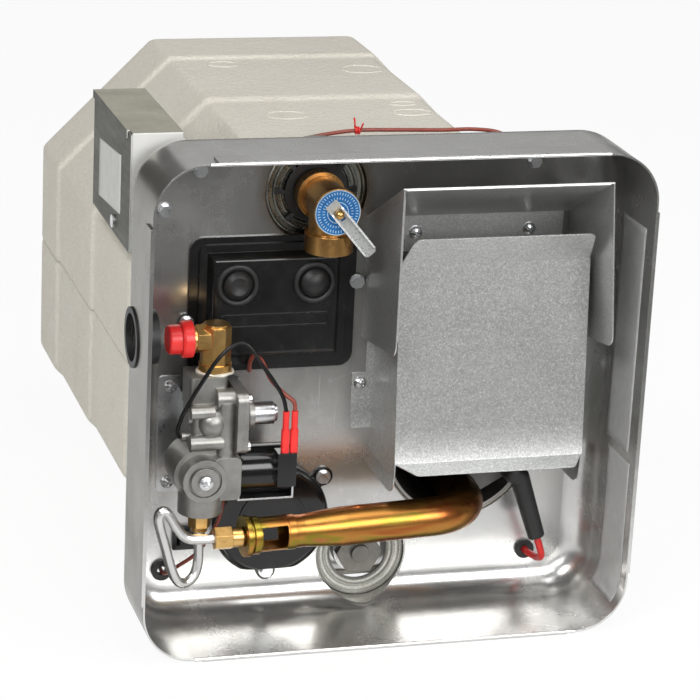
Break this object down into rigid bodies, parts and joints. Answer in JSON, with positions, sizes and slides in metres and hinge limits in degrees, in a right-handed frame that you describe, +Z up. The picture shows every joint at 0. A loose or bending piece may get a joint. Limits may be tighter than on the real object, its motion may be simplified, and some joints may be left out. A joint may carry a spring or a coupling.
{
  "type": "caravan water heater",
  "caption": "Recessed caravan water heater: hemmed metal control housing with gas valve, burner, flue deflector and relief valve, and a tank in a chamfered foam jacket behind.",
  "frame": {"origin": "under the middle of the unit, on the plane it stands on", "axes": "+X to the right seen from outside, +Y from the open front towards the back of the jacket, +Z up"},
  "size_m": [0.322, 0.411, 0.322],
  "materials": {
    "housing_aluminium": "drawn sheet, satin",
    "foam": "moulded foam",
    "tank_aluminium": "welded sheet",
    "flue_steel": "heat darkened",
    "galvanised": "spangled zinc",
    "zinc_steel": "bright zinc",
    "cast_alloy": "die cast",
    "brass": "machined",
    "bronze": "cast",
    "burner_gold": "yellow passivated",
    "black_plastic": "moulded",
    "black_rubber": "moulded",
    "grey_plastic": "moulded",
    "red_plastic": "moulded",
    "white_plastic": "moulded",
    "tag_blue": "printed",
    "tube_alloy": "bent tube",
    "ceramic": "glazed",
    "wire_black": "insulation",
    "wire_brown": "insulation",
    "lead_red": "silicone"
  },
  "bodies": {
    "heater": {"control_housing": "housing_aluminium", "foam_jacket_upper": "foam", "foam_jacket_lower": "foam", "tank": "tank_aluminium", "flue_tube": "flue_steel", "hot_outlet": "zinc_steel", "cold_inlet": "zinc_steel", "tp_seal": "galvanised", "tp_gasket": "black_rubber", "tp_valve_body": "bronze", "tp_valve_tag": "tag_blue", "reset_cover": "black_plastic", "button_rims": "black_rubber", "thermostat": "grey_plastic", "limit_switch": "grey_plastic", "flue_hood": "galvanised", "flue_box": "galvanised", "gas_valve_body": "cast_alloy", "diaphragm_cover": "cast_alloy", "regulator_tower": "zinc_steel", "valve_screws": "zinc_steel", "solenoid_coil": "black_plastic", "coil_frame": "zinc_steel", "valve_plug": "cast_alloy", "valve_bracket": "zinc_steel", "inlet_elbow": "brass", "shipping_cap": "red_plastic", "outlet_fitting": "brass", "supply_tube": "tube_alloy", "orifice_holder": "brass", "burner_tube": "burner_gold", "element_cover": "black_plastic", "heating_element": "zinc_steel", "drain_seal": "white_plastic", "drain_plug": "zinc_steel", "igniter_electrode": "ceramic", "igniter_bracket": "burner_gold", "igniter_boot": "black_rubber", "ignition_lead": "lead_red", "ignition_grommet": "black_rubber", "wire_grommet": "black_rubber", "gas_line_grommet": "black_rubber", "switch_body": "black_plastic", "junction_box": "zinc_steel", "junction_box_cover": "zinc_steel", "junction_box_grommet": "black_rubber", "junction_box_screws": "zinc_steel", "valve_wire_black": "wire_black", "valve_wire_brown": "wire_brown", "crimp_connectors": "red_plastic", "switch_wire": "wire_brown", "top_wire": "wire_brown", "round_screws": "zinc_steel", "hex_screws": "zinc_steel"},
    "tp_lever": {"tp_lever": "zinc_steel"},
    "tp_stem": {"tp_valve_stem": "brass"},
    "reset_left": {"reset_button_left": "black_rubber"},
    "reset_right": {"reset_button_right": "black_rubber"},
    "rocker": {"switch_rocker": "black_plastic"}
  },
  "joints": [
    {"name": "lever_lift", "type": "hinge", "parent": "heater", "child": "tp_lever", "pos_m": [-0.04414, -0.17935, 0.28713], "axis": [-0.766, 0, -0.6428], "range_deg": [0, 30], "stiffness_Nm_per_rad": 0.01},
    {"name": "stem_lift", "type": "slide", "parent": "heater", "child": "tp_stem", "axis": [0, -1, 0], "range_m": [0, 0.0055]},
    {"name": "reset_left_push", "type": "slide", "parent": "heater", "child": "reset_left", "axis": [0, 1, 0], "range_m": [0, 0.003], "stiffness_N_per_m": 400},
    {"name": "reset_right_push", "type": "slide", "parent": "heater", "child": "reset_right", "axis": [0, 1, 0], "range_m": [0, 0.003], "stiffness_N_per_m": 400},
    {"name": "rocker_tilt", "type": "hinge", "parent": "heater", "child": "rocker", "pos_m": [-0.115, -0.1307, 0.054], "axis": [0, 0, -1], "range_deg": [0, 16]}
  ],
  "couplings": [
    {"joint": "stem_lift", "follows": "lever_lift", "m_per_rad": 0.0101}
  ]
}
